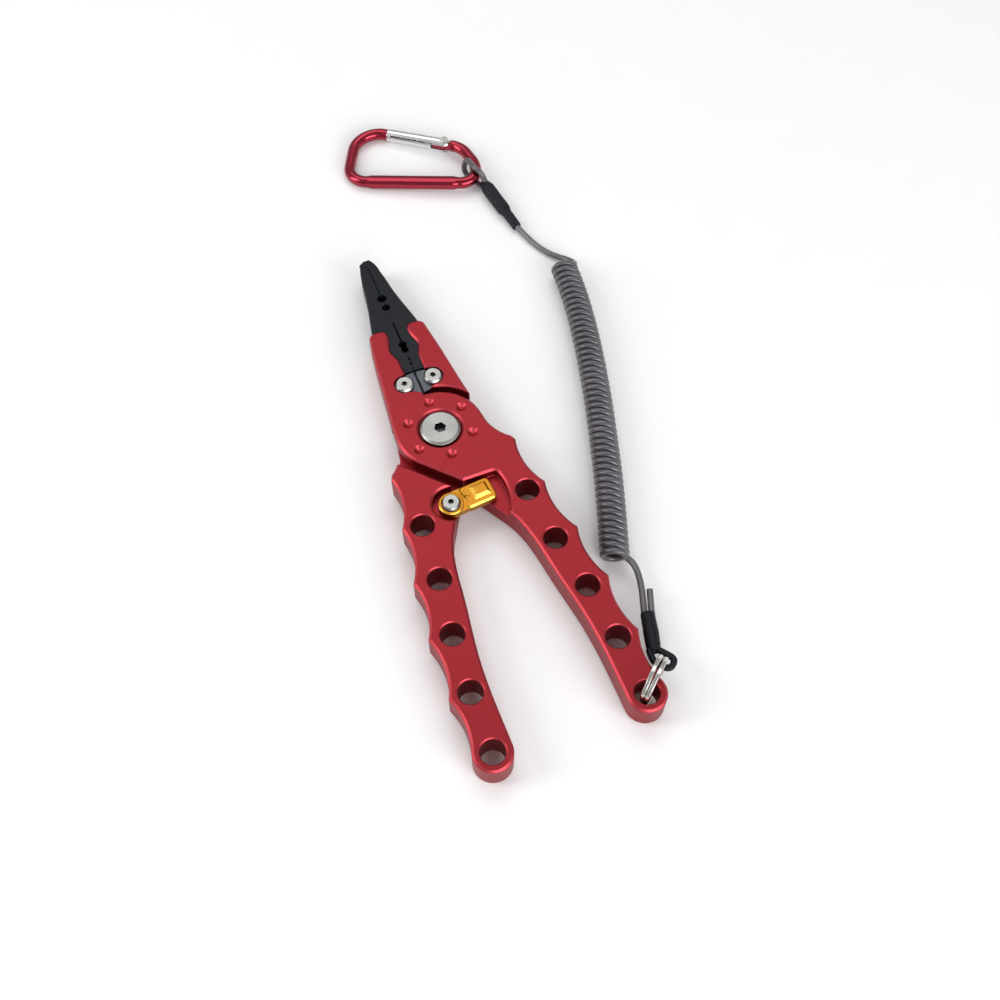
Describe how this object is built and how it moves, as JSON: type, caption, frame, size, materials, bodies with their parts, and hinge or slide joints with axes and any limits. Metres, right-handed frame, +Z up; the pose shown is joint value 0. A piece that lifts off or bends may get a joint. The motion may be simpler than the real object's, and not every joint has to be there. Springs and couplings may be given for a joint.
{
  "type": "fishing pliers",
  "caption": "Lap-jointed fishing pliers with pierced handles, cutters and a swinging lock lever, on a coiled lanyard with a split ring and a small gated carabiner.",
  "frame": {"origin": "on the jaws' pivot axis, at the flat face of the pivot nut that the pliers lie on", "axes": "+Z up along the pivot axis, +Y along the pliers towards the jaw tips, +X to the right seen from above"},
  "size_m": [0.1177, 0.2979, 0.019],
  "materials": {
    "frame_red": "anodised red aluminium, satin",
    "jaw_steel": "black-coated stainless steel, satin",
    "cutter_carbide": "ground tungsten carbide, satin",
    "screw_steel": "stainless steel, turned",
    "bush_bronze": "bronze bush, smooth",
    "washer_plastic": "white low-friction washer",
    "spring_steel": "spring wire",
    "lever_gold": "anodised gold aluminium, satin",
    "ring_chrome": "bright steel",
    "cord_coated": "smoke-grey coated wire, glossy",
    "heat_shrink": "black heat-shrink sleeve",
    "carabiner_red": "polished anodised red aluminium",
    "gate_silver": "polished aluminium"
  },
  "bodies": {
    "front_half": {"front_frame": "frame_red", "left_jaw": "jaw_steel", "left_cutter": "cutter_carbide", "left_jaw_screw": "screw_steel", "pivot_screw": "screw_steel", "pivot_nut": "screw_steel", "return_spring": "spring_steel", "lock_catch_pin": "screw_steel", "split_ring": "ring_chrome", "lower_loop": "heat_shrink", "lower_ferrule": "screw_steel", "lower_sleeve": "heat_shrink", "lower_tail": "cord_coated", "lower_lead": "cord_coated", "coil": "cord_coated", "upper_lead": "cord_coated", "upper_ferrule": "screw_steel", "upper_sleeve": "heat_shrink", "upper_loop": "cord_coated"},
    "rear_half": {"rear_frame": "frame_red", "right_jaw": "jaw_steel", "right_cutter": "cutter_carbide", "right_jaw_screw": "screw_steel", "pivot_bush": "bush_bronze", "lap_washer": "washer_plastic", "nut_washer": "washer_plastic", "lock_screw": "screw_steel", "lock_washer": "screw_steel"},
    "lock_lever": {"lock_lever": "lever_gold"},
    "carabiner": {"carabiner_body": "carabiner_red", "gate_pin": "screw_steel"},
    "carabiner_gate": {"gate_tube": "gate_silver", "gate_plunger": "screw_steel", "gate_spring": "spring_steel"}
  },
  "joints": [
    {"name": "jaw_pivot", "type": "hinge", "parent": "front_half", "child": "rear_half", "pos_m": [0, 0, 0.0076], "axis": [0, 0, -1], "range_deg": [0, 25], "deforming": ["return_spring"]},
    {"name": "lock_lever_swing", "type": "hinge", "parent": "rear_half", "child": "lock_lever", "pos_m": [-0.0075, -0.0315, 0.0115], "axis": [0, 0, -1], "range_deg": [0, 45]},
    {"name": "carabiner_swing", "type": "hinge", "parent": "front_half", "child": "carabiner", "pos_m": [0.0608, 0.1272, 0.0052], "axis": [0, 0, 1], "range_deg": [-8, 3]},
    {"name": "gate_hinge", "type": "hinge", "parent": "carabiner", "child": "carabiner_gate", "pos_m": [0.05579, 0.14652, 0.00462], "axis": [-0.0463, 0.0221, 0.9987], "range_deg": [0, 28], "stiffness_Nm_per_rad": 0.002, "springref_deg": -20.05, "deforming": ["gate_spring", "gate_plunger"]}
  ]
}
